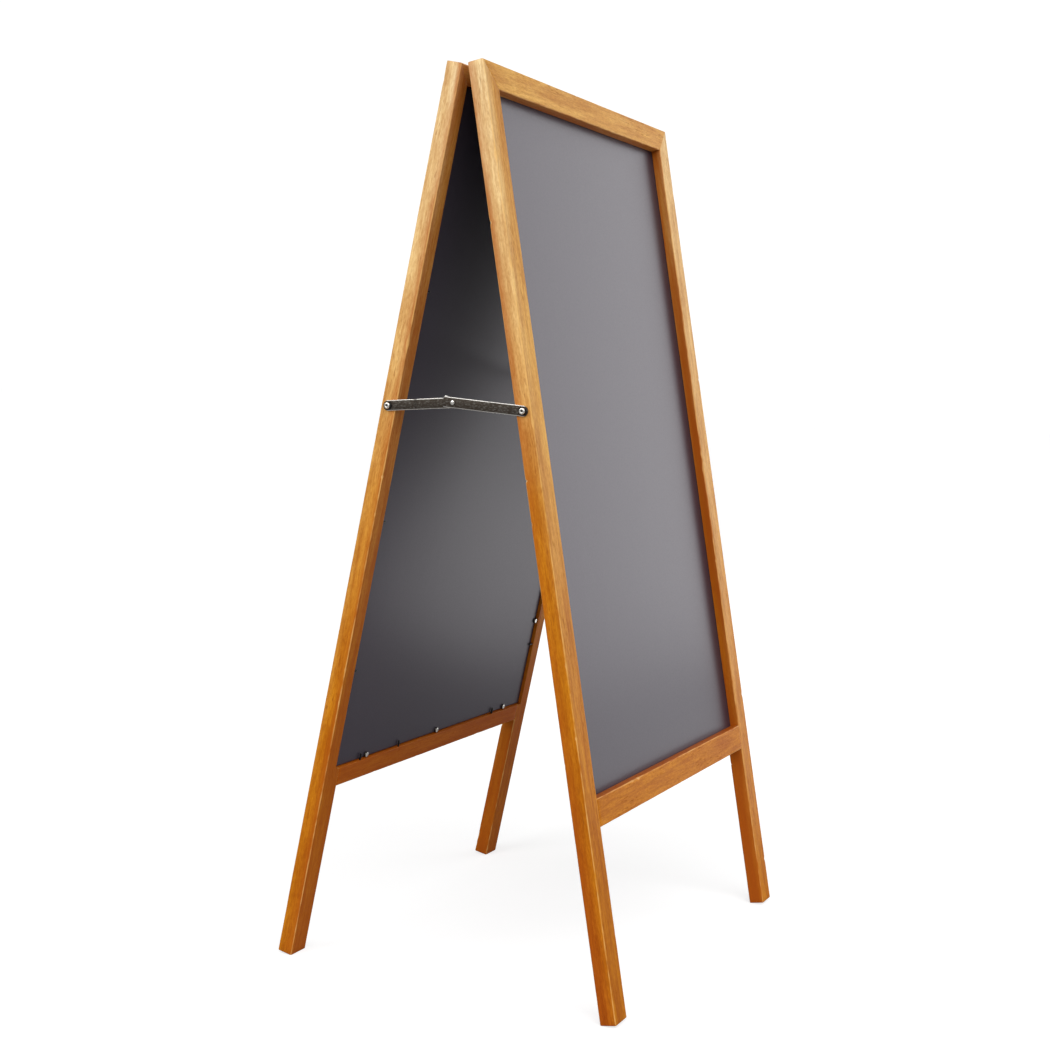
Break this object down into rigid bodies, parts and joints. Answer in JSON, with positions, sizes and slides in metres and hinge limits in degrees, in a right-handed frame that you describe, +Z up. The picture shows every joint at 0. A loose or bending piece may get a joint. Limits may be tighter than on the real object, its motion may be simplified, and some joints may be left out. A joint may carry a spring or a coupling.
{
  "type": "sandwich board",
  "caption": "Folding A-frame chalkboard sign: framed writing panels on square wooden legs, hinged along the top and held open by a folding steel stay on each side.",
  "frame": {"origin": "on the floor, midway between the four feet", "axes": "+Z up, X along the hinge, -Y towards the front panel's face"},
  "size_m": [0.6074, 0.5048, 1.1841],
  "materials": {
    "stained_wood": "honey-brown stained and lacquered, satin, worn on the arrises",
    "chalkboard_paint": "dark grey writing surface, low satin",
    "plated_steel": "nickel-plated, lightly tarnished",
    "blacked_steel": "blackened, low sheen"
  },
  "bodies": {
    "front_frame": {"front_bottom_rail": "stained_wood", "front_chalkboard": "chalkboard_paint", "front_left_stile": "stained_wood", "front_panel_pin_1": "blacked_steel", "front_panel_pin_2": "blacked_steel", "front_panel_pin_3": "blacked_steel", "front_panel_pin_4": "blacked_steel", "front_panel_pin_5": "blacked_steel", "front_panel_pin_6": "blacked_steel", "front_panel_pin_7": "blacked_steel", "front_panel_screw_1": "plated_steel", "front_panel_screw_2": "plated_steel", "front_panel_screw_3": "plated_steel", "front_panel_screw_4": "plated_steel", "front_right_stile": "stained_wood", "front_top_rail": "stained_wood", "left_hinge_front_leaf": "plated_steel", "left_hinge_front_screw_1": "plated_steel", "left_hinge_front_screw_2": "plated_steel", "left_hinge_pin": "plated_steel", "left_stay_front_screw": "plated_steel", "left_stay_front_washer": "blacked_steel", "right_hinge_front_leaf": "plated_steel", "right_hinge_front_screw_1": "plated_steel", "right_hinge_front_screw_2": "plated_steel", "right_hinge_pin": "plated_steel", "right_stay_front_screw": "plated_steel", "right_stay_front_washer": "blacked_steel"},
    "back_frame": {"back_bottom_rail": "stained_wood", "back_chalkboard": "chalkboard_paint", "back_left_stile": "stained_wood", "back_panel_pin_1": "blacked_steel", "back_panel_pin_2": "blacked_steel", "back_panel_pin_3": "blacked_steel", "back_panel_pin_4": "blacked_steel", "back_panel_pin_5": "blacked_steel", "back_panel_pin_6": "blacked_steel", "back_panel_pin_7": "blacked_steel", "back_panel_screw_1": "plated_steel", "back_panel_screw_2": "plated_steel", "back_panel_screw_3": "plated_steel", "back_panel_screw_4": "plated_steel", "back_right_stile": "stained_wood", "back_top_rail": "stained_wood", "left_hinge_back_leaf": "plated_steel", "left_hinge_back_screw_1": "plated_steel", "left_hinge_back_screw_2": "plated_steel", "left_stay_back_screw": "plated_steel", "left_stay_back_washer": "blacked_steel", "right_hinge_back_leaf": "plated_steel", "right_hinge_back_screw_1": "plated_steel", "right_hinge_back_screw_2": "plated_steel", "right_stay_back_screw": "plated_steel", "right_stay_back_washer": "blacked_steel"},
    "front_link_left": {"left_stay_front_link": "plated_steel", "left_stay_rivet": "plated_steel"},
    "front_link_right": {"right_stay_front_link": "plated_steel", "right_stay_rivet": "plated_steel"},
    "back_link_left": {"left_stay_back_link": "plated_steel"},
    "back_link_right": {"right_stay_back_link": "plated_steel"}
  },
  "joints": [
    {"name": "fold", "type": "hinge", "parent": "front_frame", "child": "back_frame", "pos_m": [0, 0, 1.18116], "axis": [-1, 0, 0], "range_deg": [0, 21.8]},
    {"name": "front_link_pivot_left", "type": "hinge", "parent": "front_frame", "child": "front_link_left", "pos_m": [-0.299, -0.09715, 0.7523], "axis": [1, 0, 0], "range_deg": [0, 66.56]},
    {"name": "back_link_pivot_left", "type": "hinge", "parent": "back_frame", "child": "back_link_left", "pos_m": [-0.299, 0.09715, 0.7523], "axis": [-1, 0, 0], "range_deg": [0, 66.56]},
    {"name": "front_link_pivot_right", "type": "hinge", "parent": "front_frame", "child": "front_link_right", "pos_m": [0.299, -0.09715, 0.7523], "axis": [1, 0, 0], "range_deg": [0, 66.56]},
    {"name": "back_link_pivot_right", "type": "hinge", "parent": "back_frame", "child": "back_link_right", "pos_m": [0.299, 0.09715, 0.7523], "axis": [-1, 0, 0], "range_deg": [0, 66.56]}
  ],
  "couplings": [
    {"joint": "front_link_pivot_left", "follows": "fold", "ratio": 3.0521},
    {"joint": "back_link_pivot_left", "follows": "fold", "ratio": 3.0521},
    {"joint": "front_link_pivot_right", "follows": "fold", "ratio": 3.0521},
    {"joint": "back_link_pivot_right", "follows": "fold", "ratio": 3.0521}
  ]
}
